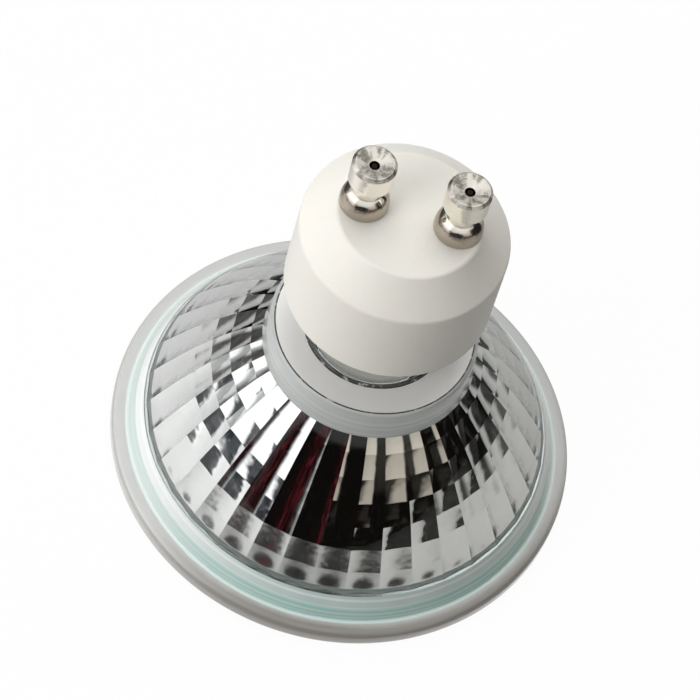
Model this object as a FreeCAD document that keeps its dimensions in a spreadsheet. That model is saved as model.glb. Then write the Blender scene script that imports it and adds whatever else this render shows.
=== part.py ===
import FreeCAD, Part

import math
import os
from types import SimpleNamespace

import Sketcher

# Reflector spotlight lamp for mains voltage, with a twist-lock cap.
# It stands on its front rim: Z runs along the lamp's axis, from the front rim (0) up to
# the contact pins, and the pins lie side by side along X. All sizes are in millimetres.

SIZES = {
    # pressed glass reflector: flange, wall, collar and neck
    "rim_radius": 25.3,
    "flange_height": 2.25,
    "flange_round": 0.7,
    "flange_reach": 1.7,
    "rim_wall": 1.7,
    "root_round": 0.4,
    "glass_wall": 1.5,
    "collar_reach": 0.45,
    "collar_rise": 3.63,
    "collar_draft": 0.4,
    "collar_round": 0.55,
    "neck_wall": 1.7,
    "neck_rise": 11.8,
    # fluted mirror inside it: a paraboloid of flat rows, with a rounded rib for each flute
    "lip_height": 3.0,
    "lip_draft": 0.55,
    "mouth_step": 0.45,
    "focal_length": 5.6,
    "throat_width": 4.45,
    "flute_count": 36,
    "flute_rows": 7,
    "flute_turn": 14.0,
    "flute_start": 7.25,
    # cover glass and the silicone bead that holds it in the rim
    "seat_width": 1.0,
    "cover_clearance": 0.3,
    "cover_thickness": 1.6,
    "cover_setback": 0.1,
    "cover_bevel": 0.15,
    "seal_thickness": 0.2,
    "seal_width": 0.6,
    # steatite cap, cemented over the neck
    "cap_wall": 2.95,
    "cap_overlap": 4.1,
    "cap_room": 5.2,
    "cap_roof": 4.7,
    "cap_bevel": 3.4,
    "cap_round": 0.5,
    "cement_gap": 0.8,
    "cement_setback": 0.4,
    "cement_clearance": 0.05,
    # hollow contact pins, riveted through the cap
    "pin_pitch": 10.0,
    "pin_head_radius": 2.35,
    "pin_head_length": 3.45,
    "pin_head_chamfer": 0.3,
    "pin_head_taper": 0.6,
    "pin_head_reach": 0.75,
    "pin_mouth_lip": 0.15,
    "pin_mouth_depth": 0.45,
    "pin_neck_length": 1.35,
    "pin_foot_reach": 1.0,
    "pin_foot_height": 2.3,
    "pin_foot_edge": 0.35,
    "pin_shank_step": 0.15,
    "pin_shank_clearance": 0.05,
    "pin_rivet_reach": 0.65,
    "pin_rivet_length": 0.7,
    # quartz capsule: blown bulb and pressed seal
    "bulb_radius": 4.6,
    "bulb_clearance": 1.0,
    "bulb_length": 12.9,
    "bulb_dome": 3.6,
    "quartz_wall": 0.8,
    "exhaust_tip_radius": 0.7,
    "exhaust_tip_length": 1.1,
    "shoulder_length": 2.6,
    "seal_length": 8.0,
    "seal_recess": 2.0,
    "seal_half_width": 4.0,
    "seal_half_depth": 1.0,
    "seal_rail_width": 0.9,
    "seal_rail_depth": 0.4,
    "potting_setback": 1.0,
    "skirt_setback": 0.3,
    # current path inside the capsule and the cap
    "lead_radius": 0.3,
    "lead_clearance": 0.25,
    "lead_pitch": 4.4,
    "lead_lap": 1.0,
    "lead_stub": 1.6,
    "lead_run": 0.9,
    "lead_bend": 1.2,
    "lead_recess": 0.5,
    "lead_reach": 0.5,
    "foil_width": 1.8,
    "foil_thickness": 0.1,
    "foil_setback": 0.8,
    "foil_end_setback": 1.6,
    "weld_gap": 0.02,
    "fuse_radius": 0.12,
    "filament_radius": 0.45,
    "filament_lift": 5.1,
    "filament_leg": 4.7,
    "support_radius": 0.15,
    "support_clearance": 0.05,
}

# Places of the points that round off a bow, as shares of the way along and out
FOOT_BOW = (0.75, 0.6)
TIP_BOW = (0.7, 0.7)
DOME_BOW = (0.8, 0.45)
HOLLOW_BOW = (0.78, 0.42)
CEILING_BOW = (0.7, 0.5)
# Share of half a gap that a wire's bend may fill, so that a short straight stays between two bends
FULL_BEND = 0.999
# How near a row line lies to its true radius
ROW_LIMIT = 1e-6

doc = FreeCAD.newDocument("spotlight")
sheet = doc.addObject("Spreadsheet::Sheet", "sizes")
for row, (name, number) in enumerate(SIZES.items(), 1):
    sheet.set(f"A{row}", name)
    sheet.set(f"B{row}", str(number))
    sheet.setAlias(f"B{row}", name)
doc.recompute()


class Size(float):
    """A number that remembers the sheet formula which gives it."""

    def __new__(cls, number, formula=None):
        size = super().__new__(cls, number)
        size.formula = formula or str(float(number))
        return size

    def __add__(self, other):
        return joined(self, "+", other, float(self) + float(other))

    def __radd__(self, other):
        return joined(other, "+", self, float(other) + float(self))

    def __sub__(self, other):
        return joined(self, "-", other, float(self) - float(other))

    def __rsub__(self, other):
        return joined(other, "-", self, float(other) - float(self))

    def __mul__(self, other):
        return joined(self, "*", other, float(self) * float(other))

    def __rmul__(self, other):
        return joined(other, "*", self, float(other) * float(self))

    def __truediv__(self, other):
        return joined(self, "/", other, float(self) / float(other))

    def __rtruediv__(self, other):
        return joined(other, "/", self, float(other) / float(self))

    def __neg__(self):
        return joined(0, "-", self, -float(self))


def joined(left, sign, right, number):
    """The size that two sizes or numbers make together."""
    texts = [value.formula if isinstance(value, Size) else str(float(value)) for value in (left, right)]
    return Size(number, f"({texts[0]} {sign} {texts[1]})")


def root(size):
    """The square root of a size."""
    return Size(math.sqrt(size), f"sqrt({size.formula})")


s = SimpleNamespace(**{name: Size(sheet.get(name), f"sizes.{name}") for name in SIZES})


# The grooves between the mirror's ribs lie on a paraboloid about the filament


def mirror_height(radius):
    return s.mouth_height + (s.mouth_radius * s.mouth_radius - radius * radius) / (4 * s.focal_length)


def outside(radius):
    """The point of the glass's outer side over the mirror at this radius."""
    slope = radius / (2 * s.focal_length)
    stretch = root(slope * slope + 1)
    return radius + s.glass_wall * slope / stretch, mirror_height(radius) + s.glass_wall / stretch


# Sizes that follow from others, from the rim inward and then up to the pins

s.foot_radius = s.rim_radius - s.flange_reach
s.lip_radius = s.foot_radius - s.rim_wall
s.recess_radius = s.lip_radius + s.seat_width
s.cover_radius = s.recess_radius - s.cover_clearance
s.cover_back = s.cover_setback + s.cover_thickness
s.seat_height = s.cover_back + s.seal_thickness
s.mouth_height = s.seat_height + s.lip_height
s.mouth_radius = s.lip_radius - s.lip_draft - s.mouth_step
s.neck_bore_radius = s.bulb_radius + s.bulb_clearance
s.neck_radius = s.neck_bore_radius + s.neck_wall
s.flute_end_radius = s.neck_bore_radius + s.throat_width
s.collar_foot_radius = s.flute_end_radius + s.collar_reach
s.collar_radius, s.collar_base_height = outside(s.collar_foot_radius)
s.collar_height = s.collar_base_height + s.collar_rise
s.neck_height = s.collar_height + s.neck_rise

s.cap_base_height = s.neck_height - s.cap_overlap
s.cap_ceiling = s.neck_height + s.cap_room
s.cap_height = s.cap_ceiling + s.cap_roof
s.cap_radius = s.neck_radius + s.cement_gap + s.cap_wall
s.pin_length = s.pin_foot_height + s.pin_neck_length + s.pin_head_length
s.pin_neck_radius = s.pin_head_radius - s.pin_head_reach
s.pin_foot_radius = s.pin_neck_radius + s.pin_foot_reach
s.pin_shank_radius = s.pin_neck_radius - s.pin_shank_step
s.pin_bore_radius = s.lead_radius + s.lead_clearance

s.seal_top_height = s.neck_height - s.seal_recess
s.seal_base_height = s.seal_top_height - s.seal_length
s.bulb_shoulder_height = s.seal_base_height - s.shoulder_length
s.bulb_end_height = s.bulb_shoulder_height - s.bulb_length
s.foil_base_height = s.seal_base_height + s.foil_setback
s.foil_length = s.seal_length - s.foil_setback - s.foil_end_setback
s.filament_bend_height = s.bulb_end_height + s.filament_lift
s.filament_end_height = s.filament_bend_height + s.filament_leg


def bind(thing, **sizes):
    """Ties an object's properties to the sheet."""
    for name, size in sizes.items():
        thing.setExpression(name, size.formula if isinstance(size, Size) else str(float(size)))


def place(thing, x=0, y=0, z=0):
    """Ties an object's place to the sheet."""
    for axis, size in (("x", x), ("y", y), ("z", z)):
        if isinstance(size, Size):
            thing.setExpression(f"Placement.Base.{axis}", size.formula)


def origin_plane(body, role):
    """One of the body's own planes, by its role."""
    return next(plane for plane in body.Origin.OriginFeatures if plane.Role == role)


def new_body(name):
    body = doc.addObject("PartDesign::Body", name)
    body.Label = name
    return body


def pin_down(sketch, geometry, end, corner):
    """Ties one point of a sketch to the sheet, across and up from the origin."""
    for kind, axis, size in (("DistanceX", -2, corner[0]), ("DistanceY", -1, corner[1])):
        if isinstance(size, Size):
            tie = sketch.addConstraint(Sketcher.Constraint(kind, -1, 1, geometry, end, float(size)))
            sketch.setExpression(f"Constraints[{tie}]", size.formula)
        else:
            sketch.addConstraint(Sketcher.Constraint("PointOnObject", geometry, end, axis))


def flat_sketch(body, name, role, height=None):
    """An empty sketch on one of the body's own planes, or at a height over it."""
    sketch = body.newObject("Sketcher::SketchObject", name)
    sketch.AttachmentSupport = (origin_plane(body, role), [""])
    sketch.MapMode = "FlatFace"
    if height is not None:
        sketch.setExpression("AttachmentOffset.Base.z", height.formula)
    return sketch


def bow(sketch, start, through, finish):
    """A smooth bow between two corners; its middle passes through the given point."""
    pull = [2 * middle - (a + b) / 2 for a, middle, b in zip(start, through, finish)]
    curve = Part.BSplineCurve()
    poles = [FreeCAD.Vector(*point, 0) for point in (start, pull, finish)]
    curve.buildFromPolesMultsKnots(poles, [3, 3], [0, 1], False, 2)
    geometry = sketch.addGeometry(curve, False)
    sketch.exposeInternalGeometry(geometry)
    pin_down(sketch, geometry + 2, 3, pull)
    return geometry


def outline(body, name, steps, role="XZ_Plane", height=None):
    """A closed sketch through its corners; a step of two points is a bow through the first one."""
    sketch = flat_sketch(body, name, role, height)
    corners = [step[-1] if isinstance(step[0], tuple) else step for step in steps]
    edges = []
    for index, step in enumerate(steps):
        start, finish = corners[index - 1], corners[index]
        if isinstance(step[0], tuple):
            edges.append(bow(sketch, start, step[0], finish))
        else:
            line = Part.LineSegment(FreeCAD.Vector(*start, 0), FreeCAD.Vector(*finish, 0))
            edges.append(sketch.addGeometry(line, False))
    for index, edge in enumerate(edges):
        sketch.addConstraint(Sketcher.Constraint("Coincident", edges[index - 1], 2, edge, 1))
        pin_down(sketch, edge, 2, corners[index])
    return sketch


def turned(body, name, steps):
    """Turns a half section round Z."""
    turn = body.newObject("PartDesign::Revolution", name)
    turn.Profile = outline(body, f"{name}_section", steps)
    turn.ReferenceAxis = (turn.Profile[0], ["V_Axis"])
    turn.Angle = 360
    body.Tip = turn
    doc.recompute()
    return turn


def raised(body, name, sketch, length, cut):
    """Carries a sketch's outline up by a length, as material or as a cut."""
    volume = 0 if body.Tip is None else body.Shape.Volume
    feature = body.newObject("PartDesign::Pocket" if cut else "PartDesign::Pad", name)
    feature.Profile = sketch
    feature.Type = "Length"
    bind(feature, Length=length)
    feature.Reversed = cut
    body.Tip = feature
    doc.recompute()
    if cut and not body.Shape.Volume < volume:
        raise ValueError(f"{name} cuts nothing")
    return feature


def discs(body, name, circles, low, high, cut=False):
    """Round discs or holes between two heights, each given by its place along X and its radius."""
    sketch = flat_sketch(body, f"{name}_section", "XY_Plane", low)
    for across, radius in circles:
        centre = FreeCAD.Vector(across, 0, 0)
        circle = sketch.addGeometry(Part.Circle(centre, FreeCAD.Vector(0, 0, 1), radius), False)
        pin_down(sketch, circle, 3, (across, 0))
        tie = sketch.addConstraint(Sketcher.Constraint("Radius", circle, float(radius)))
        sketch.setExpression(f"Constraints[{tie}]", radius.formula)
    return raised(body, name, sketch, high - low, cut)


def rounded(body, name, circles, radius, kind="PartDesign::Fillet"):
    """Rounds or bevels the edges that run round Z, each given by its radius and height."""
    base = body.Tip
    edges = []
    for number, edge in enumerate(base.Shape.Edges, 1):
        curve = edge.Curve
        if not isinstance(curve, Part.Circle):
            continue
        for ring, height in circles:
            if abs(curve.Radius - ring) < 1e-4 and abs(curve.Center.z - height) < 1e-4:
                edges.append(f"Edge{number}")
    if len(edges) != len(circles):
        raise ValueError(f"{name}: {len(edges)} edges found for {len(circles)} circles")
    feature = body.newObject(kind, name)
    feature.Base = (base, edges)
    bind(feature, **{"Radius" if kind.endswith("Fillet") else "Size": radius})
    body.Tip = feature
    doc.recompute()
    return feature


def ring_section(inner, outer, low, high):
    return [(outer, low), (outer, high), (inner, high), (inner, low)]


# Reflector


def row_radii():
    """Radii of the mirror's row lines, which part its curve into equal lengths, from the mouth in."""
    focal = float(s.focal_length)

    def along(radius):
        slope = radius / (2 * focal)
        return slope * math.hypot(slope, 1) + math.asinh(slope)

    rows = round(s.flute_rows)
    mouth, end = float(s.mouth_radius), float(s.flute_end_radius)
    radii = [mouth]
    for row in range(1, rows):
        reach = along(mouth) + (along(end) - along(mouth)) * row / rows
        low, high = end, mouth
        while high - low > ROW_LIMIT:
            middle = (low + high) / 2
            low, high = (middle, high) if along(middle) < reach else (low, middle)
        radii.append(high)
    return radii + [end]


def flute_ring(index, radius):
    """One row line of the mirror: an arc for each rib, groove to groove, towards the axis."""
    height = float(mirror_height(radius))
    count = round(s.flute_count)
    half = math.pi / count
    depth = radius * math.sin(half) * math.tan(math.radians(s.flute_turn) / 4)
    middle = radius * math.cos(half) - depth

    def point(reach, turn):
        return FreeCAD.Vector(reach * math.cos(turn), reach * math.sin(turn), height)

    arcs = []
    for flute in range(count):
        turn = 2 * half * flute + math.radians(s.flute_start)
        arc = Part.Arc(point(radius, turn - half), point(middle, turn), point(radius, turn + half))
        arcs.append(arc.toShape())
    ring = doc.addObject("Part::Feature", f"flute_ring_{index}")
    ring.Shape = Part.Wire(arcs)
    return ring


def reflector():
    """Pressed glass bowl: flange with a recess for the cover, fluted mirror, collar and neck."""
    body = new_body("reflector_blank")
    bore = s.neck_bore_radius
    middle = (s.mouth_radius + s.collar_foot_radius) / 2
    throat_middle = (s.flute_end_radius + bore) / 2
    collar_top = s.collar_radius - s.collar_draft
    turned(body, "reflector_turn", [
        (s.recess_radius, 0),
        (s.rim_radius, 0),
        (s.rim_radius, s.flange_height),
        (s.foot_radius, s.flange_height),
        (outside(middle), (s.collar_radius, s.collar_base_height)),
        (collar_top, s.collar_height),
        (s.neck_radius, s.collar_height),
        (s.neck_radius, s.neck_height),
        (bore, s.neck_height),
        (bore, mirror_height(bore)),
        ((throat_middle, mirror_height(throat_middle)),
         (s.flute_end_radius, mirror_height(s.flute_end_radius))),
        (bore, mirror_height(s.flute_end_radius)),
        (bore, s.mouth_height),
        (s.mouth_radius + s.mouth_step, s.mouth_height),
        (s.lip_radius, s.seat_height),
        (s.recess_radius, s.seat_height),
    ])
    rounded(body, "flange_edges", [(s.rim_radius, 0), (s.rim_radius, s.flange_height)], s.flange_round)
    rounded(body, "flange_root", [(s.foot_radius, s.flange_height)], s.root_round)
    rounded(body, "collar_edge", [(collar_top, s.collar_height)], s.collar_round)
    rounded(body, "neck_root", [(s.neck_radius, s.collar_height)], s.root_round)
    flutes = doc.addObject("Part::Loft", "flutes")
    flutes.Sections = [flute_ring(row, radius) for row, radius in enumerate(row_radii())]
    flutes.Solid = True
    flutes.Ruled = True
    cut = doc.addObject("Part::Cut", "reflector")
    cut.Base = body
    cut.Tool = flutes
    return cut


def cover_glass():
    """Flat clear disc that closes the front, a little behind the rim, with bevelled edges."""
    body = new_body("cover_glass")
    discs(body, "cover_disc", [(0, s.cover_radius)], s.cover_setback, s.cover_back)
    edges = [(s.cover_radius, s.cover_setback), (s.cover_radius, s.cover_back)]
    rounded(body, "cover_edges", edges, s.cover_bevel, kind="PartDesign::Chamfer")
    return body


def cover_seal():
    """Silicone bead between the cover's back and the seat in the rim."""
    body = new_body("cover_seal")
    outer = s.cover_radius - s.cover_bevel
    turned(body, "bead_turn", ring_section(outer - s.seal_width, outer, s.cover_back, s.seat_height))
    return body


# Steatite cap with its riveted contact pins


def ceramic_cap():
    """Fired cup with a bevelled top, a socket for the neck and two holes for the pins."""
    body = new_body("ceramic_cap")
    bevel_low = s.cap_height - s.cap_bevel
    top_radius = s.cap_radius - s.cap_bevel
    socket = s.neck_radius + s.cement_gap
    bore = s.pin_shank_radius + s.pin_shank_clearance
    discs(body, "cap_disc", [(0, s.cap_radius)], s.cap_base_height, s.cap_height)
    rounded(body, "cap_bevelled", [(s.cap_radius, s.cap_height)], s.cap_bevel, kind="PartDesign::Chamfer")
    discs(body, "neck_socket", [(0, socket)], s.cap_base_height, s.cap_ceiling, cut=True)
    holes = [(side * s.pin_pitch / 2, bore) for side in (-1, 1)]
    discs(body, "pin_holes", holes, s.cap_ceiling, s.cap_height, cut=True)
    edges = [(s.cap_radius, s.cap_base_height), (s.cap_radius, bevel_low), (top_radius, s.cap_height)]
    rounded(body, "cap_edges", edges, s.cap_round)
    return body


def contact_pin(side, name):
    """Turned and plated hollow stud: head, neck, domed foot, shank and spun rivet end."""
    body = new_body(name)
    top = s.pin_length
    head_low = top - s.pin_head_length
    face = s.pin_head_radius - s.pin_head_chamfer
    rivet = s.pin_shank_radius + s.pin_rivet_reach
    dome = s.pin_foot_height - s.pin_foot_edge
    out, up = FOOT_BOW
    turned(body, f"{name}_turn", [
        (face - s.pin_mouth_lip, top),
        (face, top),
        (s.pin_head_radius, top - s.pin_head_chamfer),
        (s.pin_head_radius, head_low + s.pin_head_taper),
        (s.pin_neck_radius, head_low),
        (s.pin_neck_radius, s.pin_foot_height),
        ((s.pin_neck_radius + s.pin_foot_reach * out, s.pin_foot_edge + dome * up),
         (s.pin_foot_radius, s.pin_foot_edge)),
        (s.pin_foot_radius, 0),
        (s.pin_shank_radius, 0),
        (s.pin_shank_radius, -s.cap_roof),
        (rivet, -s.cap_roof),
        (rivet, -s.cap_roof - s.pin_rivet_length / 2),
        (s.pin_shank_radius, -s.cap_roof - s.pin_rivet_length),
        (s.pin_bore_radius, -s.cap_roof - s.pin_rivet_length),
        (s.pin_bore_radius, top - s.pin_mouth_depth),
    ])
    place(body, x=side * s.pin_pitch / 2, z=s.cap_height)
    return body


def cap_cement():
    """Ring of cement that holds the cap on the reflector's neck."""
    body = new_body("cap_cement")
    inner = s.neck_radius + s.cement_clearance
    outer = s.neck_radius + s.cement_gap - s.cement_clearance
    low = s.cap_base_height + s.cement_setback
    turned(body, "cement_ring", ring_section(inner, outer, low, s.neck_height - s.cement_setback))
    return body


# Quartz capsule with the current path sealed in it


def pressed_outline(grow=0):
    """Section of the pressed seal: a flat bar with a raised rail along both edges."""
    width = s.seal_half_width + grow
    rail = s.seal_half_width - s.seal_rail_width - grow
    depth = s.seal_half_depth + grow
    thick = depth + s.seal_rail_depth
    right = [(width, -thick), (width, thick), (rail, thick), (rail, depth)]
    left = [(-rail, depth), (-rail, thick), (-width, thick), (-width, -thick)]
    return right + left + [(-rail, -thick), (-rail, -depth), (rail, -depth), (rail, -thick)]


def pressed_bar(body, name, low, high, grow=0, cut=False):
    """The seal's section along Z, as material or as a slot."""
    sketch = outline(body, f"{name}_section", pressed_outline(grow), role="XY_Plane", height=low)
    return raised(body, name, sketch, high - low, cut)


def capsule_envelope(sealed_in):
    """Blown quartz bulb with its exhaust tip, drawn into a flat seal pressed round the leads."""
    bulb = new_body("bulb_blank")
    end = s.bulb_end_height
    dome = end + s.bulb_dome
    tip = s.exhaust_tip_radius
    turned(bulb, "bulb_turn", [
        (0, end - s.exhaust_tip_length),
        ((tip * TIP_BOW[0], end - s.exhaust_tip_length * TIP_BOW[1]), (tip, end)),
        (tip, end + s.quartz_wall / 2),
        ((s.bulb_radius * DOME_BOW[0], end + s.bulb_dome * DOME_BOW[1]), (s.bulb_radius, dome)),
        (s.bulb_radius, s.bulb_shoulder_height),
        (0, s.bulb_shoulder_height),
    ])
    round_end = doc.addObject("Part::Circle", "shoulder_low")
    bind(round_end, Radius=s.bulb_radius)
    place(round_end, z=s.bulb_shoulder_height)
    flat_end = doc.addObject("Part::Ellipse", "shoulder_high")
    bind(flat_end, MajorRadius=s.seal_half_width, MinorRadius=s.seal_half_depth)
    place(flat_end, z=s.seal_base_height)
    shoulder = doc.addObject("Part::Loft", "shoulder")
    shoulder.Sections = [round_end, flat_end]
    shoulder.Solid = True
    press = new_body("press_blank")
    overlap = s.seal_rail_depth
    pressed_bar(press, "press", s.seal_base_height - overlap, s.seal_top_height)
    quartz = doc.addObject("Part::MultiFuse", "quartz")
    quartz.Shapes = [bulb, shoulder, press]
    space = new_body("bulb_space")
    inner = s.bulb_radius - s.quartz_wall
    floor = end + s.quartz_wall
    neck_in = s.bulb_shoulder_height - s.quartz_wall
    ceiling = (s.bulb_shoulder_height + s.seal_base_height) / 2
    turned(space, "space_turn", [
        (0, floor),
        ((inner * HOLLOW_BOW[0], floor + s.bulb_dome * HOLLOW_BOW[1]), (inner, dome)),
        (inner, neck_in),
        ((inner * CEILING_BOW[0], neck_in + (ceiling - neck_in) * CEILING_BOW[1]), (0, ceiling)),
    ])
    tools = doc.addObject("Part::Compound", "capsule_inside")
    tools.Links = [space] + sealed_in
    envelope = doc.addObject("Part::Cut", "capsule_envelope")
    envelope.Base = quartz
    envelope.Tool = tools
    return envelope


def capsule_cement():
    """Potting that holds the pressed seal in the neck's bore, with a skirt round the bulb's shoulder."""
    body = new_body("capsule_cement")
    skirt_low = mirror_height(s.neck_bore_radius) + s.skirt_setback
    low = s.seal_base_height + s.potting_setback
    high = s.seal_top_height - s.potting_setback
    outer = s.neck_bore_radius - s.cement_clearance
    inner = s.bulb_radius + s.cement_clearance
    discs(body, "potting_disc", [(0, outer)], skirt_low, high)
    discs(body, "skirt_space", [(0, inner)], skirt_low, low, cut=True)
    pressed_bar(body, "potting_slot", low, high, grow=s.cement_clearance, cut=True)
    return body


def path_wire(name, points, bend):
    """Straight runs in the XZ plane, with an arc at each corner between them."""
    corners = [FreeCAD.Vector(x, 0, z) for x, z in points]
    edges = []
    start = corners[0]
    for before, corner, after in zip(corners, corners[1:], corners[2:]):
        come = (corner - before).normalize()
        leave = (after - corner).normalize()
        turn = come.getAngle(leave)
        cut = bend * math.tan(turn / 2)
        inward = (leave - come).normalize()
        centre = corner + inward * (bend / math.cos(turn / 2))
        edges.append(Part.makeLine(start, corner - come * cut))
        edges.append(Part.Arc(corner - come * cut, centre - inward * bend, corner + leave * cut).toShape())
        start = corner + leave * cut
    edges.append(Part.makeLine(start, corners[-1]))
    path = doc.addObject("Part::Feature", f"{name}_path")
    path.Shape = Part.Wire(edges)
    return path


def wire_piece(name, points, radius, bend=s.lead_bend):
    """Round wire drawn along a path that starts along Z."""
    path = path_wire(name, points, float(bend))
    circle = doc.addObject("Part::Circle", f"{name}_circle")
    bind(circle, Radius=radius)
    place(circle, x=points[0][0], z=points[0][1])
    sweep = doc.addObject("Part::Sweep", name)
    sweep.Sections = [circle]
    sweep.Spine = (path, [f"Edge{number}" for number in range(1, len(path.Shape.Edges) + 1)])
    sweep.Solid = True
    return sweep


def sealing_foil(side, name):
    """Thin foil in the pressed seal, which joins an inner lead to an outer one."""
    foil = doc.addObject("Part::Box", name)
    bind(foil, Length=s.foil_width, Width=s.foil_thickness, Height=s.foil_length)
    x = side * s.lead_pitch / 2 - s.foil_width / 2
    y = s.lead_radius + s.weld_gap
    place(foil, x=x, y=y, z=s.foil_base_height)
    return foil


def filament_support():
    """Wire from the seal down the middle, with an eye round the filament's bend."""
    bend = s.lead_pitch / 2
    eye_height = s.filament_bend_height - bend
    eye_radius = s.filament_radius + s.support_clearance + s.support_radius
    stem = doc.addObject("Part::Cylinder", "support_stem")
    low = eye_height + eye_radius
    bind(stem, Radius=s.support_radius, Height=s.foil_base_height - low)
    place(stem, z=low)
    eye = doc.addObject("Part::Torus", "support_eye")
    bind(eye, Radius1=eye_radius, Radius2=s.support_radius)
    eye.Placement = FreeCAD.Placement(FreeCAD.Vector(), FreeCAD.Rotation(FreeCAD.Vector(0, 1, 0), 90))
    place(eye, z=eye_height)
    support = doc.addObject("Part::Fuse", "filament_support")
    support.Base = stem
    support.Tool = eye
    return support


def current_path():
    """Leads, foils, filament and fuse, each a piece of its own; the sealed ones come first."""
    half = s.lead_pitch / 2
    pin = s.pin_pitch / 2
    foil_high = s.foil_base_height + s.foil_length
    fuse_low = s.seal_top_height + s.lead_stub
    fuse_high = s.cap_ceiling - s.pin_rivet_length - s.lead_reach
    lead_top = s.cap_height + s.pin_length - s.lead_recess
    sealed = []
    for side, word in ((-1, "left"), (1, "right")):
        across = side * half
        ends = [(across, s.foil_base_height + s.lead_lap), (across, s.filament_end_height)]
        sealed.append(wire_piece(f"inner_lead_{word}", ends, s.lead_radius))
        sealed.append(sealing_foil(side, f"foil_{word}"))
    start = foil_high - s.lead_lap
    low_bend = fuse_low + s.lead_run
    high_bend = fuse_high - s.lead_run
    route = [(-half, start), (-half, low_bend), (-pin, high_bend), (-pin, lead_top)]
    sealed.append(wire_piece("outer_lead_left", route, s.lead_radius))
    sealed.append(wire_piece("outer_lead_right", [(half, start), (half, fuse_low)], s.lead_radius))
    sealed.append(filament_support())
    route = [(half, fuse_low), (half, low_bend), (pin, high_bend), (pin, fuse_high)]
    fuse = wire_piece("fuse_wire", route, s.fuse_radius)
    pin_lead = wire_piece("pin_lead_right", [(pin, fuse_high), (pin, lead_top)], s.lead_radius)
    bottom = s.filament_bend_height - half
    legs = [(-half, s.filament_end_height), (-half, bottom), (half, bottom), (half, s.filament_end_height)]
    filament = wire_piece("filament", legs, s.filament_radius, bend=half * FULL_BEND)
    return sealed, [fuse, pin_lead, filament]


sealed, loose = current_path()
nodes = [
    reflector(),
    cover_glass(),
    cover_seal(),
    ceramic_cap(),
    contact_pin(-1, "contact_pin_left"),
    contact_pin(1, "contact_pin_right"),
    cap_cement(),
    capsule_envelope(sealed),
    capsule_cement(),
] + sealed + loose
doc.recompute()

for thing in doc.Objects:
    if {"Invalid", "Error"} & set(thing.State):
        raise ValueError(f"{thing.Label} failed: {thing.State}")
for node in nodes:
    node.Label = node.Name
    if node.Shape.isNull() or not node.Shape.isValid():
        raise ValueError(f"{node.Label} has no sound shape")

os.makedirs("parts", exist_ok=True)
for node in nodes:
    node.Shape.exportStep(f"parts/{node.Label}.step")
    print(node.Label, len(node.Shape.Solids), round(node.Shape.Volume, 2))
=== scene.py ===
import math

import bmesh
import bpy
from mathutils import Matrix, Vector


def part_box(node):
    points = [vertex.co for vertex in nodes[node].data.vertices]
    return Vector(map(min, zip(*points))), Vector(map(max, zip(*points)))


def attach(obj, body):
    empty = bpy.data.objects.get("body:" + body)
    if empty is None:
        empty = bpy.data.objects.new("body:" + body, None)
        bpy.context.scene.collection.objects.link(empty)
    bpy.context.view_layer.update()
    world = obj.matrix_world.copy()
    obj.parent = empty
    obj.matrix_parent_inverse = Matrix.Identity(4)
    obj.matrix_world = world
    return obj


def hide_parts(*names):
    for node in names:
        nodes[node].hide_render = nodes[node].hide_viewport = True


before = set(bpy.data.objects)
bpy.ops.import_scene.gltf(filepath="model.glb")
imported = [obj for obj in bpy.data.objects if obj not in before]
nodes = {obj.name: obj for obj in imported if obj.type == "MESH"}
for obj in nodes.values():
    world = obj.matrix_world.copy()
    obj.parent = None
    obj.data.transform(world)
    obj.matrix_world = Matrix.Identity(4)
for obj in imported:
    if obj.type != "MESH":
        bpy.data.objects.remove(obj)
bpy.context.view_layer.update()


# Pressed glass reflector. One piece of soda glass, pressed in a mould: flange, bowl, collar and
# neck. The bowl's outside is clear, the rim and the collar are satin. The fluted inside is coated
# with aluminium, which shows through the glass from behind.

bowl_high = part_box("reflector")[1]
rim_radius = bowl_high.y
neck_height = bowl_high.z
recess_radius = 0.0229
seat_height = 0.0019
flange_height = 0.00225
flange_round = 0.0007
foot_radius = 0.0236
root_round = 0.0004
collar_height = 0.024203
collar_draft = 0.0004
collar_round = 0.00055
neck_radius = 0.0073
neck_bore_radius = 0.0056
lip_radius = 0.0219
mouth_radius = 0.0209
mouth_height = 0.0049
mouth_step = 0.00045
coat_radius = 0.0212
toe_height = 0.00008
toe_steps = 16
glass_wall = 0.0015
focal_length = 0.0056
flute_end_radius = 0.01005
collar_foot_radius = 0.0105
flute_count = 36
flute_rows = 7
flute_turn = math.radians(14)
flute_start = math.radians(7.25)
flute_steps = 14
round_steps = 10
bow_steps = 40
row_limit = 1e-9
merge_distance = 1e-7
sharp_angle = math.radians(14)


def softened(corners):
    """A closed outline through (radius, height, rounding) corners, with an arc at each rounding."""
    points = []
    for index, (radius, height, rounding) in enumerate(corners):
        corner = Vector((radius, height))
        if not rounding:
            points.append(corner)
            continue
        come = (corner - Vector(corners[index - 1][:2])).normalized()
        leave = (Vector(corners[(index + 1) % len(corners)][:2]) - corner).normalized()
        turn = come.angle(leave)
        reach = rounding * math.tan(turn / 2)
        inward = (leave - come).normalized()
        centre = corner + inward * (rounding / math.cos(turn / 2))
        first = corner - come * reach - centre
        side = 1 if come.cross(leave) > 0 else -1
        for step in range(round_steps + 1):
            spin = Matrix.Rotation(side * turn * step / round_steps, 2)
            points.append(centre + spin @ first)
    return points


def bow(start, through, finish, steps):
    """Points between two corners on a smooth bow whose middle passes through the given point."""
    start, through, finish = Vector(start), Vector(through), Vector(finish)
    pull = 2 * through - (start + finish) / 2
    points = []
    for step in range(1, steps):
        share = step / steps
        points.append((1 - share) ** 2 * start + 2 * share * (1 - share) * pull + share ** 2 * finish)
    return points


def mirror_height(radius):
    """Height of the mirror's curve at this radius."""
    return mouth_height + (mouth_radius ** 2 - radius ** 2) / (4 * focal_length)


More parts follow.
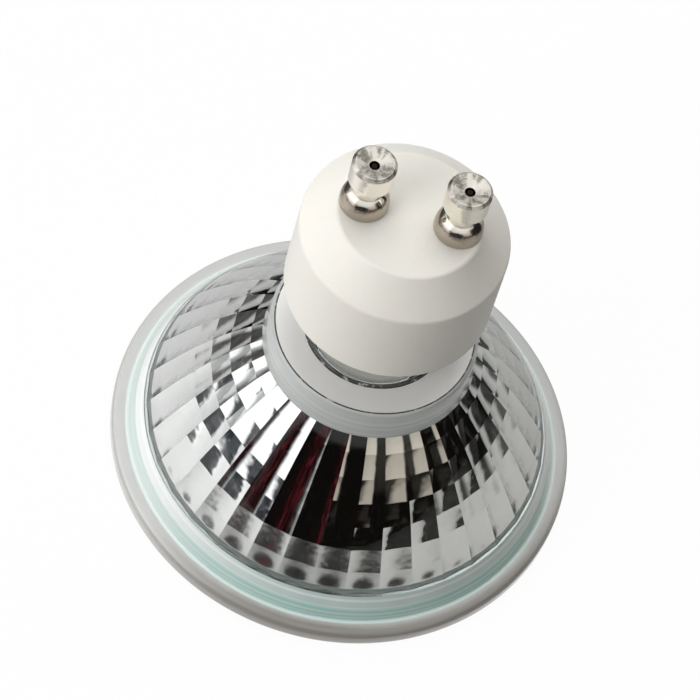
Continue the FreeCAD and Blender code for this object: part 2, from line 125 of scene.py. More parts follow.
def outside(radius):
    """The point of the glass's outer side over the mirror at this radius."""
    slope = radius / (2 * focal_length)
    stretch = math.sqrt(slope ** 2 + 1)
    return radius + glass_wall * slope / stretch, mirror_height(radius) + glass_wall / stretch


def round_ring(radius, height, around, start=0.0):
    """Points of a plain ring."""
    turns = [start + 2 * math.pi * step / around for step in range(around)]
    return [(radius * math.cos(turn), radius * math.sin(turn), height) for turn in turns]


def row_radii():
    """Radii of the mirror's row lines, which part its curve into equal lengths, from its edge in."""
    def along(radius):
        slope = radius / (2 * focal_length)
        return slope * math.hypot(slope, 1) + math.asinh(slope)

    radii = [coat_radius]
    for row in range(1, flute_rows):
        reach = along(coat_radius) + (along(flute_end_radius) - along(coat_radius)) * row / flute_rows
        low, high = flute_end_radius, coat_radius
        while high - low > row_limit:
            middle = (low + high) / 2
            low, high = (middle, high) if along(middle) < reach else (low, middle)
        radii.append(high)
    return radii + [flute_end_radius]


def fluted_ring(radius, height, toe=0.0):
    """A ring with a rounded rib in each flute, towards the axis, less the hollow of the rib's toe."""
    half = math.pi / flute_count
    chord = radius * math.sin(half)
    depth = chord * math.tan(flute_turn / 4)
    bend = (chord ** 2 + depth ** 2) / (2 * depth)
    centre = radius * math.cos(half) - depth + bend
    points = []
    for step in range(flute_count * flute_steps):
        across = half * (2 * (step % flute_steps) / flute_steps - 1)
        turn = flute_start + half * (2 * (step // flute_steps)) + across
        reach = centre * math.cos(across) - math.sqrt(bend ** 2 - (centre * math.sin(across)) ** 2)
        reach += toe * (0.5 + 0.5 * math.cos(math.pi * across / half))
        points.append((reach * math.cos(turn), reach * math.sin(turn), height))
    return points


def skinned(name, rings, creases, materials, coats):
    """A closed skin over rings of points, the last joined to the first, smooth between its edges.

    coats names the material of a strip by the strip's number; the other strips have the first.
    """
    slots = {material.name: slot for slot, material in enumerate(materials)}
    build = bmesh.new()
    rows = [[build.verts.new(point) for point in ring] for ring in rings]
    for index, row in enumerate(rows):
        following = rows[(index + 1) % len(rows)]
        for step in range(len(row)):
            onward = (step + 1) % len(row)
            face = build.faces.new((row[step], row[onward], following[onward], following[step]))
            face.smooth = True
            face.material_index = slots[coats[index]] if index in coats else 0
    creased = [build.edges.get((rows[index][step - 1], rows[index][step]))
               for index in creases for step in range(len(rows[index]))]
    for edge in creased:
        edge.smooth = False
    bmesh.ops.remove_doubles(build, verts=build.verts, dist=merge_distance)
    bmesh.ops.recalc_face_normals(build, faces=build.faces)
    for edge in build.edges:
        if edge.calc_face_angle(0) > sharp_angle:
            edge.smooth = False
    mesh = bpy.data.meshes.new(name)
    build.to_mesh(mesh)
    build.free()
    for material in materials:
        mesh.materials.append(material)
    piece = bpy.data.objects.new(name, mesh)
    bpy.context.scene.collection.objects.link(piece)
    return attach(piece, "root")


class Wire:
    """A socket among a finish's nodes. Sums and products of wires and numbers add Math nodes."""

    def __init__(self, finish, socket):
        self.finish = finish
        self.socket = socket

    def __add__(self, other):
        return self.finish.maths("ADD", self, other)

    def __radd__(self, other):
        return self.finish.maths("ADD", other, self)

    def __sub__(self, other):
        return self.finish.maths("SUBTRACT", self, other)

    def __rsub__(self, other):
        return self.finish.maths("SUBTRACT", other, self)

    def __mul__(self, other):
        return self.finish.maths("MULTIPLY", self, other)

    def __rmul__(self, other):
        return self.finish.maths("MULTIPLY", other, self)

    def __pow__(self, other):
        return self.finish.maths("POWER", self, other)


class Finish:
    """The nodes of one material, or of the studio's surroundings."""

    def __init__(self, tree):
        self.tree = tree

    def node(self, kind, settings=None, sockets=None, output=0):
        """Adds a node: its settings first, then the numbers or wires of its sockets."""
        node = self.tree.nodes.new(kind)
        for name, value in (settings or {}).items():
            if name == "stops":
                self.set_stops(node.color_ramp, value)
            else:
                setattr(node, name, value)
        for name, value in (sockets or {}).items():
            self.join(node.inputs[name], value)
        return Wire(self, node.outputs[output])

    def join(self, socket, value):
        """Gives a socket its wire, or its number or colour."""
        if isinstance(value, Wire):
            self.tree.links.new(value.socket, socket)
        else:
            socket.default_value = value

    def set_stops(self, ramp, stops):
        """Gives a colour ramp its places and colours."""
        while len(ramp.elements) < len(stops):
            ramp.elements.new(1)
        for element, (place, colour) in zip(ramp.elements, stops):
            element.position = place
            element.color = colour

    def maths(self, operation, *terms):
        """A Math node on wires and numbers."""
        return self.node("ShaderNodeMath", {"operation": operation}, dict(enumerate(terms)))

    def place(self):
        """Where a point of the surface is, in metres in the lamp's own frame."""
        return self.node("ShaderNodeTexCoord", output="Object")

    def axis(self, vector, name):
        """One of a vector's three numbers."""
        return self.node("ShaderNodeSeparateXYZ", None, {0: vector}, name)

    def radius(self, vector):
        """How far a point is from the upright axis of its frame."""
        across = self.axis(vector, "X")
        away = self.axis(vector, "Y")
        return (across * across + away * away) ** 0.5

    def noise(self, vector, size, detail=2.0, roughness=0.5):
        """Cloudy variation from 0 to 1, whose blots are about this many metres across."""
        sockets = {"Vector": vector, "Scale": 1 / size, "Detail": detail, "Roughness": roughness}
        return self.node("ShaderNodeTexNoise", None, sockets)

    def between(self, value, low, high):
        """Rises smoothly from 0 to 1 as the value passes from low to high."""
        sockets = {"Value": value, "From Min": low, "From Max": high}
        return self.node("ShaderNodeMapRange", {"interpolation_type": "SMOOTHSTEP"}, sockets)

    def blend(self, mask, first, second):
        """One colour where the mask is 0 and the other where it is 1."""
        return self.node("ShaderNodeMix", {"data_type": "RGBA"}, {0: mask, 6: first, 7: second}, 2)

    def bump(self, height, depth):
        """Relief of the surface, this many metres deep."""
        return self.node("ShaderNodeBump", None, {"Height": height, "Distance": depth})


def new_finish(name, **sockets):
    """A material whose shader's own sockets hold these numbers and colours."""
    material = bpy.data.materials.new(name)
    material.use_nodes = True
    finish = Finish(material.node_tree)
    finish.material = material
    finish.shader = material.node_tree.nodes["Principled BSDF"]
    for socket, value in sockets.items():
        finish.shader.inputs[socket.replace("_", " ")].default_value = value
    return finish


def dress(finish, **wires):
    """Feeds what varies over the surface to the shader."""
    for socket, wire in wires.items():
        finish.join(finish.shader.inputs[socket.replace("_", " ")], wire)
    return finish.material


def clear_glass(name, pale, deep, ripple_size, ripple_depth):
    """Clear glass with a faint tint, and the slow ripples of a pressed or drawn surface."""
    finish = new_finish(name, Transmission_Weight=1.0, IOR=1.5)
    place = finish.place()
    cloud = finish.noise(place, ripple_size * 2)
    ripple = finish.noise(place, ripple_size, detail=1.0)
    smear = finish.noise(place, ripple_size / 2, detail=3.0)
    return dress(
        finish,
        Base_Color=finish.blend(cloud, pale, deep),
        Roughness=finish.between(smear, 0.45, 0.8) * 0.03,
        Normal=finish.bump(ripple, ripple_depth),
    )


streak_width = 0.00045
painted_shadow_width = 0.0011
painted_shadow_brown = (0.25, 0.23, 0.205, 1)


def ground_glass(name, clearness, haze, pale, deep, streaked=0.0, rim_shadow_share=0.0):
    """Glass that the mould has left satin, clouded all over or streaked in rings.

    Painted shade: the side that faces the dark room is deeper in tone, and shadow brown near the rim's
    edge.
    """
    finish = new_finish(
        name,
        Transmission_Weight=clearness,
        IOR=1.5,
        Coat_Weight=1.0,
        Coat_Roughness=0.06,
    )
    place = finish.place()
    cloud = finish.noise(place, 0.005, detail=3.0)
    grain = finish.noise(place, 0.0005, detail=4.0)
    reach = finish.radius(place)
    rings = finish.node("ShaderNodeCombineXYZ", None, {"X": reach, "Z": finish.axis(place, "Z")})
    streak = finish.between(finish.noise(rings, streak_width, detail=2.0), 0.40, 0.58)
    # Painted shade: the front, towards the dark room, takes the deeper tone, and a shadow brown by the
    # rim.
    forward = finish.axis(place, "X") * 0.5 - finish.axis(place, "Y")
    room_side_shade = finish.between(forward, 0.25 * rim_radius, 0.95 * rim_radius)
    shade = (cloud * (1 - streaked) + streak * streaked) * (room_side_shade * 0.7 + 0.3)
    tint = finish.blend(shade, pale, deep)
    painted_rim_shadow = finish.between(reach, foot_radius, foot_radius + painted_shadow_width) * room_side_shade
    return dress(
        finish,
        Base_Color=finish.blend(painted_rim_shadow * rim_shadow_share, tint, painted_shadow_brown),
        Roughness=haze + grain * 0.12,
        Normal=finish.bump(grain, 0.00001),
    )


def painted_dark_corner(name):
    """Painted reflection: a small rounded glass corner, near-black for the dark room, with painted
    glints.
    """
    finish = new_finish(name, Specular_IOR_Level=0.8)
    # Painted highlight: the glints are bright patches in the base colour.
    painted_glint = finish.between(finish.noise(finish.place(), 0.0012, detail=3.0), 0.57, 0.68)
    return dress(
        finish,
        Base_Color=finish.blend(painted_glint, (0.035, 0.035, 0.034, 1), (0.50, 0.50, 0.48, 1)),
        Roughness=0.15 + painted_glint * 0.25,
    )


def mirror_coat(name, haze):
    """Aluminium coat on glass: bright, with the faint unevenness of the pressed surface below."""
    finish = new_finish(name, Metallic=1.0)
    place = finish.place()
    cloud = finish.noise(place, 0.006)
    ripple = finish.noise(place, 0.0012, detail=1.0)
    speck = finish.noise(place, 0.0004, detail=3.0)
    return dress(
        finish,
        Base_Color=finish.blend(cloud, (0.97, 0.97, 0.97, 1), (0.93, 0.935, 0.94, 1)),
        Roughness=haze + finish.between(speck, 0.5, 0.8) * 0.06,
        Normal=finish.bump(ripple, 0.000006),
    )


around = flute_count * flute_steps
ring_start = flute_start - math.pi / flute_count
collar_radius, collar_base_height = outside(collar_foot_radius)
mirror_middle = (mouth_radius + collar_foot_radius) / 2
throat_middle = (flute_end_radius + neck_bore_radius) / 2
foot = (foot_radius, flange_height)
collar_foot = (collar_radius, collar_base_height)
throat_top = (neck_bore_radius, mirror_height(neck_bore_radius))
throat_end = (flute_end_radius, mirror_height(flute_end_radius))
clear_outline = softened(
    [(recess_radius, seat_height, 0), (recess_radius, 0, 0)]
    + [(rim_radius, 0, flange_round), (rim_radius, flange_height, flange_round)]
    + [(*foot, root_round)]
    + [(*point, 0) for point in bow(foot, outside(mirror_middle), collar_foot, bow_steps)]
    + [(*collar_foot, 0), (collar_radius - collar_draft, collar_height, collar_round)]
    + [(neck_radius, collar_height, root_round), (neck_radius, neck_height, 0)]
    + [(neck_bore_radius, neck_height, 0)]
)
throat = [Vector(throat_top)]
throat += bow(throat_top, (throat_middle, mirror_height(throat_middle)), throat_end, bow_steps // 4)
throat.append(Vector(throat_end))
reflector_rings = [round_ring(*point, around, ring_start) for point in clear_outline + throat]
row_lines = []
for radius in reversed(row_radii()):
    row_lines.append(len(reflector_rings))
    reflector_rings.append(fluted_ring(radius, mirror_height(radius)))
last_row = row_radii()[1]
coat_edge = reflector_rings.pop()
for step in range(1, toe_steps):
    share = step / toe_steps
    radius = last_row + (coat_radius - last_row) * share
    toe = toe_height * math.sin(math.pi * share ** 3)
    reflector_rings.append(fluted_ring(radius, mirror_height(radius), toe))
row_lines[-1] = len(reflector_rings)
reflector_rings.append(coat_edge)
lip_share = (mouth_height - mirror_height(coat_radius)) / (mouth_height - seat_height)
lip_start = mouth_radius + mouth_step + lip_share * (lip_radius - mouth_radius - mouth_step)
reflector_rings.append(round_ring(lip_start, mirror_height(coat_radius), around, ring_start))
reflector_rings.append(round_ring(lip_radius, seat_height, around, ring_start))
glass_materials = (
    clear_glass("pressed_glass", (0.975, 0.985, 0.98, 1), (0.94, 0.96, 0.95, 1), 0.004, 0.00002),
    mirror_coat("throat_coat", 0.42),
    mirror_coat("mirror_coat", 0.03),
    # rim_wall is the satin flange's glass in a darker tone: painted shade on the flange's outer wall.
    ground_glass("rim_wall", 0.20, 0.25, (0.50, 0.49, 0.47, 1), (0.40, 0.39, 0.37, 1), rim_shadow_share=0.85),
    ground_glass(
        "satin_flange", 0.25, 0.25, (0.70, 0.705, 0.69, 1), (0.56, 0.565, 0.55, 1), rim_shadow_share=0.95
    ),
    ground_glass("green_root", 0.30, 0.12, (0.92, 1.0, 0.98, 1), (0.34, 0.73, 0.65, 1), streaked=0.8),
    ground_glass("ground_collar", 0.03, 0.40, (0.98, 0.975, 0.96, 1), (0.92, 0.915, 0.90, 1)),
    painted_dark_corner("painted_dark_corner"),
    mirror_coat("hazy_coat", 0.075),
    mirror_coat("toe_coat", 0.11),
    ground_glass("ground_lip", 0.15, 0.15, (0.96, 0.985, 0.98, 1), (0.87, 0.95, 0.93, 1)),
    ground_glass("collar_side", 0.45, 0.15, (0.80, 0.82, 0.81, 1), (0.45, 0.51, 0.49, 1), streaked=0.6),
    ground_glass("ground_foot", 0.15, 0.12, (1.0, 1.0, 1.0, 1), (0.45, 0.64, 0.60, 1), streaked=0.5),
)

# The skin's strips are counted from the recess outwards, up to the neck and down inside it.

arc_points = round_steps + 1
wall_end = 2 + arc_points + round_steps // 2
flange_end = 2 + 2 * arc_points
root_end = flange_end + arc_points + 1
foot_end = root_end + 2
collar_top = len(clear_outline) - arc_points - 3
collar_edge = collar_top - 2
neck_foot = collar_top + 7
stretches = (
    ("rim_wall", 1, wall_end),
    ("satin_flange", wall_end, flange_end),
    ("green_root", flange_end, root_end),
    ("ground_foot", root_end, foot_end),
    ("collar_side", collar_top - arc_points, collar_edge),
    ("painted_dark_corner", collar_edge, collar_top),
    ("ground_collar", collar_top, collar_top + 1),
    ("painted_dark_corner", collar_top + 1, neck_foot),
    ("throat_coat", len(clear_outline), row_lines[0]),
    ("mirror_coat", row_lines[0], row_lines[-3]),
    ("hazy_coat", row_lines[-3], row_lines[-2]),
    ("toe_coat", row_lines[-2], row_lines[-1]),
    ("ground_lip", row_lines[-1] + 1, row_lines[-1] + 2),
)
coats = {strip: name for name, first, end in stretches for strip in range(first, end)}
reflector = skinned("pressed_reflector", reflector_rings, row_lines, glass_materials, coats)
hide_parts("reflector")


# Cover glass. A flat disc of float glass with ground edges, laid in the rim's recess on a thin
# bead of silicone; its edge is greener than its faces.


def dress_node(name, material):
    """Gives a carried-over piece its finish."""
    for slot in nodes[name].material_slots:
        slot.material = material


cover_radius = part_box("cover_glass")[1].x
green_edge = 0.0022


def float_glass():
    """Float glass: almost clear through its faces, and green where light has run out to its edge."""
    finish = new_finish("float_glass", Transmission_Weight=1.0, IOR=1.52)
    place = finish.place()
    reach = finish.radius(place)
    edge = finish.between(reach, cover_radius - green_edge, cover_radius - green_edge / 2)
    rings = finish.node("ShaderNodeCombineXYZ", None, {"X": reach})
    streak = finish.between(finish.noise(rings, 0.0007, detail=3.0), 0.38, 0.62)
    smear = finish.noise(place, 0.01, detail=3.0)
    green = finish.blend(streak, (0.74, 0.89, 0.86, 1), (0.44, 0.70, 0.64, 1))
    return dress(
        finish,
        Base_Color=finish.blend(edge, (0.88, 0.96, 0.94, 1), green),
        Roughness=finish.between(smear, 0.45, 0.8) * 0.03,
        Normal=finish.bump(finish.noise(place, 0.02), 0.00001),
    )


dress_node("cover_glass", float_glass())


def silicone():
    """Clear silicone, cured with a slightly uneven, milky surface."""
    finish = new_finish("silicone_bead", Transmission_Weight=0.4, IOR=1.41)
    place = finish.place()
    cloud = finish.noise(place, 0.0008, detail=3.0)
    return dress(
        finish,
        Base_Color=finish.blend(cloud, (0.83, 0.84, 0.83, 1), (0.72, 0.74, 0.73, 1)),
        Roughness=0.35 + cloud * 0.2,
        Normal=finish.bump(cloud, 0.00003),
    )


dress_node("cover_seal", silicone())


# Halogen capsule. A blown quartz bulb drawn into a flat pressed seal, potted in the neck with
# cement; thin foils in the seal join the wires inside to those that lead up to the pins.

quartz = clear_glass("quartz", (0.975, 0.98, 0.985, 1), (0.95, 0.96, 0.965, 1), 0.003, 0.00002)
dress_node("capsule_envelope", quartz)


def cement():
    """Fired cement: chalky, pale grey-beige, with fine pores."""
    finish = new_finish("cement", Specular_IOR_Level=0.25)
    place = finish.place()
    grain = finish.noise(place, 0.0004, detail=6.0, roughness=0.7)
    cloud = finish.noise(place, 0.003)
    pale = finish.blend(cloud, (0.82, 0.80, 0.74, 1), (0.72, 0.70, 0.64, 1))
    return dress(
        finish,
        Base_Color=finish.blend(finish.between(grain, 0.55, 0.75), pale, (0.47, 0.45, 0.41, 1)),
        Roughness=0.8 + grain * 0.15,
        Normal=finish.bump(grain, 0.00006),
    )


cement_finish = cement()
dress_node("capsule_cement", cement_finish)


def drawn_metal(name, pale, dark, gloss):
    """Drawn wire or rolled foil, with fine lines along the lamp's axis."""
    finish = new_finish(name, Metallic=1.0)
    place = finish.place()
    along = finish.node("ShaderNodeMapping", None, {0: place, "Scale": (1, 1, 0.04)})
    line = finish.noise(along, 0.00006, detail=2.0)
    return dress(
        finish,
        Base_Color=finish.blend(line, pale, dark),
        Roughness=gloss + line * 0.2,
        Normal=finish.bump(line, 0.000004),
    )


molybdenum = drawn_metal("molybdenum", (0.56, 0.55, 0.53, 1), (0.40, 0.39, 0.38, 1), 0.28)
for name in ("inner_lead_left", "inner_lead_right", "foil_left", "foil_right"):
    dress_node(name, molybdenum)
lead_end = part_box("contact_pin_left")[1].z
shaded_length = 0.0016


def end_shaded_lead():
    """A lead towards a pin: the end welded in the pin's bore is painted dark, a painted shade of the
    bore.
    """
    finish = new_finish("end_shaded_lead", Metallic=1.0)
    place = finish.place()
    blotch = finish.noise(place, 0.0003, detail=3.0)
    height = finish.axis(place, "Z") + blotch * 0.0006
    # Painted shade: the lead's top, down in the pin's bore, is painted dark.
    painted_end_shade = finish.between(height, lead_end - shaded_length, lead_end - shaded_length / 2)
    return dress(
        finish,
        Base_Color=finish.blend(painted_end_shade, (0.48, 0.47, 0.45, 1), (0.045, 0.032, 0.025, 1)),
        Roughness=0.3 + painted_end_shade * 0.4,
        Normal=finish.bump(blotch, 0.00003),
    )


end_shaded_finish = end_shaded_lead()
for name in ("outer_lead_left", "outer_lead_right", "pin_lead_right"):
    dress_node(name, end_shaded_finish)
tungsten = drawn_metal("tungsten", (0.34, 0.34, 0.35, 1), (0.20, 0.20, 0.21, 1), 0.38)
dress_node("filament_support", tungsten)


# Filament. Tungsten wire, coiled and bent to a V round the support's eye; its ends are
# welded to the leads.

filament_low, filament_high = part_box("filament")
coil_outer = filament_high.y
strand_radius = 0.00005
strand_pitch = 0.00019
strand_points = 14
sideways = Vector((0, 1, 0))
leg = filament_high.x - coil_outer
leg_top = filament_high.z
bend_height = filament_low.z + coil_outer + leg


def filament_line(length):
    """The coil's centre line at a distance along it, and the way across it in the lamp's plane."""
    straight = leg_top - bend_height
    turn = (length - straight) / leg
    if turn < 0:
        return Vector((-leg, 0, leg_top - length)), Vector((1, 0, 0))
    if turn > math.pi:
        return Vector((leg, 0, bend_height + (turn - math.pi) * leg)), Vector((-1, 0, 0))
    across = Vector((math.cos(turn), 0, math.sin(turn)))
    return Vector((0, 0, bend_height)) - leg * across, across


def drawn_wire(name, points, radius, material):
    """A round wire through the points."""
    curve = bpy.data.curves.new(name, "CURVE")
    curve.dimensions = "3D"
    curve.bevel_depth = radius
    curve.bevel_resolution = 1
    curve.use_fill_caps = True
    spline = curve.splines.new("POLY")
    spline.points.add(len(points) - 1)
    for target, point in zip(spline.points, points):
        target.co = (*point, 1)
    curve.materials.append(material)
    wire = bpy.data.objects.new(name, curve)
    bpy.context.scene.collection.objects.link(wire)
    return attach(wire, "root")


coil_length = 2 * (leg_top - bend_height) + math.pi * leg
coil_radius = coil_outer - strand_radius
coil_points = []
turns = round(coil_length / strand_pitch)
for step in range(turns * strand_points + 1):
    centre, across = filament_line(coil_length * step / (turns * strand_points))
    spin = 2 * math.pi * step / strand_points
    coil_points.append(centre + coil_radius * (math.cos(spin) * across + math.sin(spin) * sideways))
filament = drawn_wire("coiled_filament", coil_points, strand_radius, tungsten)
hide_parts("filament")


# Ceramic cap. Steatite, pressed and fired: a cup with a broad bevel round its top, cemented
# over the neck. Its surface is satin, and smooth to the touch.


def steatite():
    """Fired steatite: warm white and satin, with faint clouds and fine dark specks."""
    finish = new_finish("steatite", Coat_Roughness=0.35, Subsurface_Weight=0.08, Subsurface_Scale=0.001)
    place = finish.place()
    cloud = finish.noise(place, 0.005, detail=3.0)
    grain = finish.noise(place, 0.00035, detail=4.0, roughness=0.6)
    speck = finish.between(grain, 0.70, 0.78)
    pale = finish.blend(cloud, (0.87, 0.85, 0.79, 1), (0.82, 0.80, 0.74, 1))
    return dress(
        finish,
        Base_Color=finish.blend(speck, pale, (0.62, 0.60, 0.54, 1)),
        Roughness=0.42 + grain * 0.15,
        Coat_Weight=0.15 + cloud * 0.15,
        Normal=finish.bump(grain, 0.000025),
    )


dress_node("ceramic_cap", steatite())
dress_node("cap_cement", cement_finish)


# Contact pins and fuse. Hollow studs turned from brass and plated with nickel, riveted through
# the cap; turning leaves fine rings round them and rays on the end of the head.


bore_radius = 0.00055
head_round = 0.00052
end_face_depth = 0.0003
foot_height = 0.0476
foot_blend = 0.0004
ray_spread = 200
pin_spread = 300


def plated_pin(name, side):
    """Bright nickel over turning marks, centred on the pin's own axis and other on each pin."""
    low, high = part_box(f"contact_pin_{side}")
    centre = (low + high) / 2
    finish = new_finish(name, Metallic=1.0)
    sockets = {0: finish.place(), 1: (centre.x, centre.y, high.z)}
    place = finish.node("ShaderNodeVectorMath", {"operation": "SUBTRACT"}, sockets)
    height = finish.axis(place, "Z")
    reach = finish.radius(place)
    turn = finish.maths("ARCTAN2", finish.axis(place, "Y"), finish.axis(place, "X"))
    rings = finish.node("ShaderNodeCombineXYZ", None, {"X": reach, "Z": height})
    ring_mark = finish.noise(rings, 0.00012, detail=3.0)
    spread = {"X": turn, "Y": reach * ray_spread, "Z": centre.x * pin_spread}
    rays = finish.node("ShaderNodeCombineXYZ", None, spread)
    ray_mark = finish.noise(rays, 0.35, detail=5.0, roughness=0.65)
    end_face = finish.between(height, -head_round, -end_face_depth)
    facing = finish.noise(place, 0.0019, detail=4.0, roughness=0.6)
    # Painted reflection: dark sectors on the end face stand for the streaked reflection of its turning;
    # the marks also give relief.
    marks_and_sheen = finish.between(ring_mark * 0.16 + ray_mark * 0.36 + facing * 0.48, 0.46, 0.58)
    foot = 1 - finish.between(height, foot_height - high.z, foot_height - high.z + foot_blend)
    dent = finish.noise(place, 0.0006, detail=2.0)
    relief = dent * (0.3 + foot * 0.9) + ring_mark * 0.06 + end_face * marks_and_sheen * 0.4
    bright = finish.blend(facing, (0.98, 0.94, 0.87, 1), (0.92, 0.87, 0.78, 1))
    # Painted reflection: the foot by the cap is painted a dark brown, for the dark room that it
    # mirrors.
    bright = finish.blend(foot * 0.8, bright, (0.40, 0.34, 0.275, 1))
    face_sheen = finish.blend(end_face * marks_and_sheen, bright, (0.33, 0.30, 0.265, 1))
    # Painted shade: a dark ring round the bore, wider than the bore, for the shade down the hole.
    bore_shade = finish.between(reach + ray_mark * 0.0002, bore_radius, 1.3 * bore_radius)
    return dress(
        finish,
        Base_Color=finish.blend(bore_shade, (0.035, 0.024, 0.018, 1), face_sheen),
        Roughness=0.09 + ring_mark * 0.08 + foot * 0.1 + end_face * 0.28,
        Normal=finish.bump(relief, 0.00006),
    )


for side in ("left", "right"):
    dress_node(f"contact_pin_{side}", plated_pin(f"nickel_{side}", side))
fuse_alloy = drawn_metal("fuse_alloy", (0.66, 0.63, 0.57, 1), (0.52, 0.49, 0.44, 1), 0.25)
dress_node("fuse_wire", fuse_alloy)


# Floor. A plain sheet of pale paper, which looks white past the lamp. The mirror shows it in painted
# greys, lighter and darker round the lamp: painted light and shade of the room's light on the paper.
# Under the lamp it glows white to every ray: painted light in place of the lamp's own shadow.

floor_radius = 5.0
floor_sides = 64
near_floor = 0.07
far_floor = 0.13
paper_glow = 0.96
white = (1.0, 1.0, 1.0, 1)
floor_points = [(0, 0, 0)] + round_ring(floor_radius, 0, floor_sides)
floor_faces = [(0, step, step % floor_sides + 1) for step in range(1, floor_sides + 1)]
floor_mesh = bpy.data.meshes.new("floor")
floor_mesh.from_pydata(floor_points, [], floor_faces)
floor = bpy.data.objects.new("floor", floor_mesh)
bpy.context.scene.collection.objects.link(floor)

floor_finish = new_finish("floor_paper", Roughness=0.9, Specular_IOR_Level=0.1)
spot = floor_finish.place()
reach = floor_finish.radius(spot)
forward = 0 - floor_finish.axis(spot, "Y")
facing = floor_finish.maths("ARCTAN2", floor_finish.axis(spot, "X"), forward)
round_share = facing * (0.5 / math.pi) + 0.5
seen = floor_finish.node("ShaderNodeLightPath", output="Is Camera Ray")
passed = floor_finish.node("ShaderNodeLightPath", output="Is Transmission Ray")
bounces = floor_finish.node("ShaderNodeLightPath", output="Glossy Depth")
mirrored = floor_finish.maths("MINIMUM", bounces, 1.0)
fibre = floor_finish.noise(spot, 0.01, detail=4.0)
pale = floor_finish.blend(fibre, (0.90, 0.90, 0.90, 1), (0.87, 0.87, 0.87, 1))
# Painted light and shade: the greys that the mirror and bounced light see on the paper, by the turn
# round the lamp.
painted_floor_light = floor_finish.node("ShaderNodeValToRGB", {"stops": [
    (0.00, (0.46, 0.47, 0.46, 1)),
    (0.14, (0.56, 0.56, 0.56, 1)),
    (0.22, (0.70, 0.70, 0.70, 1)),
    (0.28, (0.92, 0.92, 0.92, 1)),
    (0.34, (0.88, 0.88, 0.87, 1)),
    (0.42, (0.48, 0.48, 0.48, 1)),
    (0.52, (0.40, 0.40, 0.39, 1)),
    (0.64, (0.56, 0.56, 0.54, 1)),
    (0.78, (0.52, 0.52, 0.50, 1)),
    (1.00, (0.46, 0.47, 0.46, 1)),
]}, {"Fac": round_share})
far = floor_finish.between(reach, near_floor, far_floor)


def far_sector(rise, full, fall, end):
    """A part of the floor away from the lamp, between shares of the turn round it."""
    opening = floor_finish.between(round_share, rise, full)
    return far * (opening * (1 - floor_finish.between(round_share, fall, end)))


painted_floor_light = floor_finish.blend(far_sector(0.72, 0.75, 0.82, 0.85), painted_floor_light, (0.014, 0.013, 0.012, 1))
painted_floor_light = floor_finish.blend(far_sector(0.08, 0.11, 0.20, 0.22), painted_floor_light, (0.05, 0.047, 0.042, 1))
scattered = floor_finish.node("ShaderNodeLightPath", output="Is Diffuse Ray")
indirect = floor_finish.maths("MAXIMUM", mirrored, scattered)
dress(floor_finish, Base_Color=floor_finish.blend(indirect, pale, painted_floor_light))
glow = floor_finish.node("ShaderNodeEmission", None, {"Color": white, "Strength": 1.0})
# Painted light: under the lamp the paper glows almost white to every ray, in place of the lamp's own
# shadow.
glow_under_lamp = 1 - floor_finish.between(reach, rim_radius, 1.1 * rim_radius)
direct = floor_finish.maths("MAXIMUM", seen, passed * (1 - mirrored))
direct = floor_finish.maths("MAXIMUM", direct, glow_under_lamp)
lit = Wire(floor_finish, floor_finish.shader.outputs["BSDF"])
paper = floor_finish.node("ShaderNodeMixShader", None, {0: direct * paper_glow, 1: lit, 2: glow})
below = floor_finish.node("ShaderNodeNewGeometry", output="Backfacing")
gone = floor_finish.node("ShaderNodeBsdfTransparent")
shown = floor_finish.node("ShaderNodeMixShader", None, {0: below, 1: paper, 2: gone})
floor_finish.join(floor_finish.tree.nodes["Material Output"].inputs["Surface"], shown)
floor_mesh.materials.append(floor_finish.material)


# Surroundings. Plain white past the lamp and soft light from the left. The mirror shows a room:
# a broad white screen on the left, dark behind the camera with a beige and a red patch.

dark_east = 0.64
dark_north = -0.77
world = bpy.data.worlds.new("studio")
bpy.context.scene.world = world
world.use_nodes = True
world.node_tree.nodes.clear()
studio = Finish(world.node_tree)
way = studio.node("ShaderNodeTexCoord", output="Generated")
east = studio.axis(way, "X")
north = studio.axis(way, "Y")
height = studio.axis(way, "Z")
lift = studio.maths("ARCSINE", height) * math.degrees(1)
bearing = studio.maths("ARCTAN2", east, 0 - north) * math.degrees(1)


def patch(first, last, low, high, soft=3.0):
    """A soft-edged patch of the room, between two bearings from the front and two heights.

    All are in degrees, and the edges fade over twice the softness.
    """
    left = studio.between(bearing, first - soft, first + soft)
    right = 1 - studio.between(bearing, last - soft, last + soft)
    bottom = studio.between(lift, low - soft, low + soft)
    top = 1 - studio.between(lift, high - soft, high + soft)
    return left * right * bottom * top


cloud = studio.noise(way, 0.04, detail=3.0)
room = studio.blend(studio.between(lift, 10.0, 60.0), (0.42, 0.43, 0.42, 1), (0.80, 0.81, 0.80, 1))
white_screen = patch(-97, -39, 6, 100)
screen_foot = patch(-84, -39, 0, 7.5, 1.2)
dark_room = patch(-37, 122, -30, 37)
beige_patch = patch(28, 64, 12, 37, 2.0)
red_patch = patch(-32, -16, 2, 37, 2.5)
far_left = patch(-150, -103, -14, 20, 5.0)
beige = studio.blend(studio.between(lift, 10, 34), (0.37, 0.33, 0.28, 1), (0.64, 0.58, 0.50, 1))
red = studio.blend(studio.between(cloud, 0.50, 0.68), (0.008, 0.003, 0.003, 1), (0.14, 0.013, 0.022, 1))
room = studio.blend(white_screen, room, (1.20, 1.20, 1.20, 1))
room = studio.blend(screen_foot, room, (0.03, 0.034, 0.04, 1))
room = studio.blend(dark_room, room, (0.004, 0.0035, 0.003, 1))
room = studio.blend(beige_patch, room, beige)
room = studio.blend(red_patch, room, red)
room = studio.blend(far_left, room, (0.055, 0.052, 0.048, 1))
dark_side = studio.between(east * dark_east + north * dark_north, -0.7, 0.6)
soft_light = studio.blend(dark_side, (0.86, 0.86, 0.85, 1), (0.05, 0.042, 0.034, 1))
spread = studio.node("ShaderNodeLightPath", output="Is Diffuse Ray")
bounced = studio.node("ShaderNodeLightPath", output="Glossy Depth")
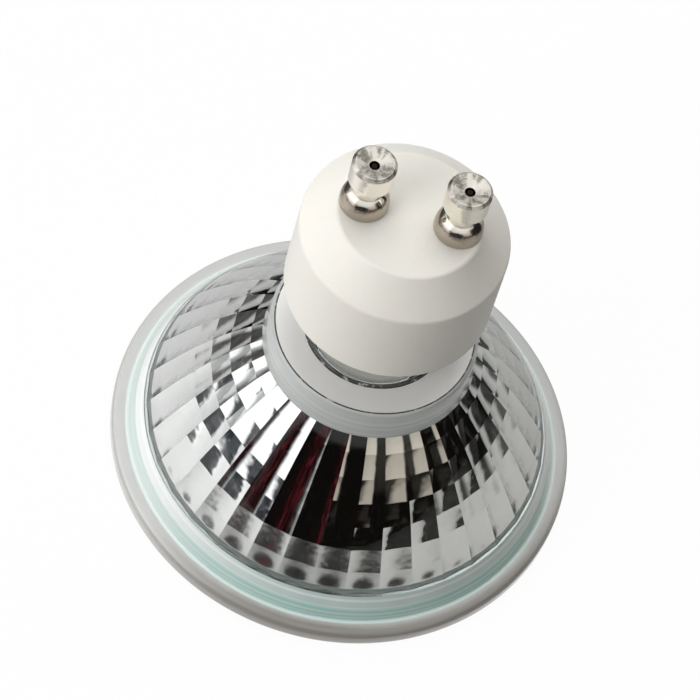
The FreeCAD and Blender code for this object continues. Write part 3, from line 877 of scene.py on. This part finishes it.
around_lamp = studio.blend(studio.maths("MINIMUM", bounced, 1.0), white, room)
around_lamp = studio.blend(spread, around_lamp, soft_light)
background = studio.node("ShaderNodeBackground", None, {"Color": around_lamp, "Strength": 1.0})
surface = studio.tree.nodes.new("ShaderNodeOutputWorld")
studio.join(surface.inputs["Surface"], background)


# Lights. A large soft key from the front left and a soft fill from above, both hidden from the
# mirror and from what is seen through the glass.


def softbox(name, place, target, width, power):
    """A square soft light that faces a point."""
    data = bpy.data.lights.new(name, "AREA")
    data.shape = "SQUARE"
    data.size = width
    data.energy = power
    light = bpy.data.objects.new(name, data)
    light.location = place
    light.rotation_euler = (Vector(target) - Vector(place)).to_track_quat("-Z", "Y").to_euler()
    light.visible_glossy = False
    light.visible_transmission = False
    bpy.context.scene.collection.objects.link(light)
    return light


middle = Vector((0, 0, neck_height / 2))
softbox("key", (-0.71, -0.64, 0.50), middle, 0.6, 5.9)
softbox("fill", (-0.05, 0.3, 1.05), middle, 0.7, 4.2)


# Camera. A long lens that looks down on the back of the lamp from the pins' side, turned a
# little askew.

camera_turn = math.radians(2.23)
camera_lift = math.radians(56.95)
camera_roll = math.radians(17.47)
camera_distance = 0.5375
camera_aside = 0.0013
camera_above = 0.01009
camera_lens = 251.8
back = Vector((
    -math.sin(camera_turn) * math.cos(camera_lift),
    -math.cos(camera_turn) * math.cos(camera_lift),
    math.sin(camera_lift),
))
level = Vector((math.cos(camera_turn), -math.sin(camera_turn), 0))
upright = back.cross(level)
right = math.cos(camera_roll) * level + math.sin(camera_roll) * upright
above = math.cos(camera_roll) * upright - math.sin(camera_roll) * level
camera_data = bpy.data.cameras.new("camera")
camera_data.lens = camera_lens
camera_data.clip_start = 0.01
camera = bpy.data.objects.new("camera", camera_data)
turn = Matrix((right, above, back)).transposed().to_4x4()
stand = back * camera_distance + right * camera_aside + above * camera_above
camera.matrix_world = Matrix.Translation(stand) @ turn
bpy.context.scene.collection.objects.link(camera)
bpy.context.scene.camera = camera
bpy.context.scene.view_settings.view_transform = "Standard"
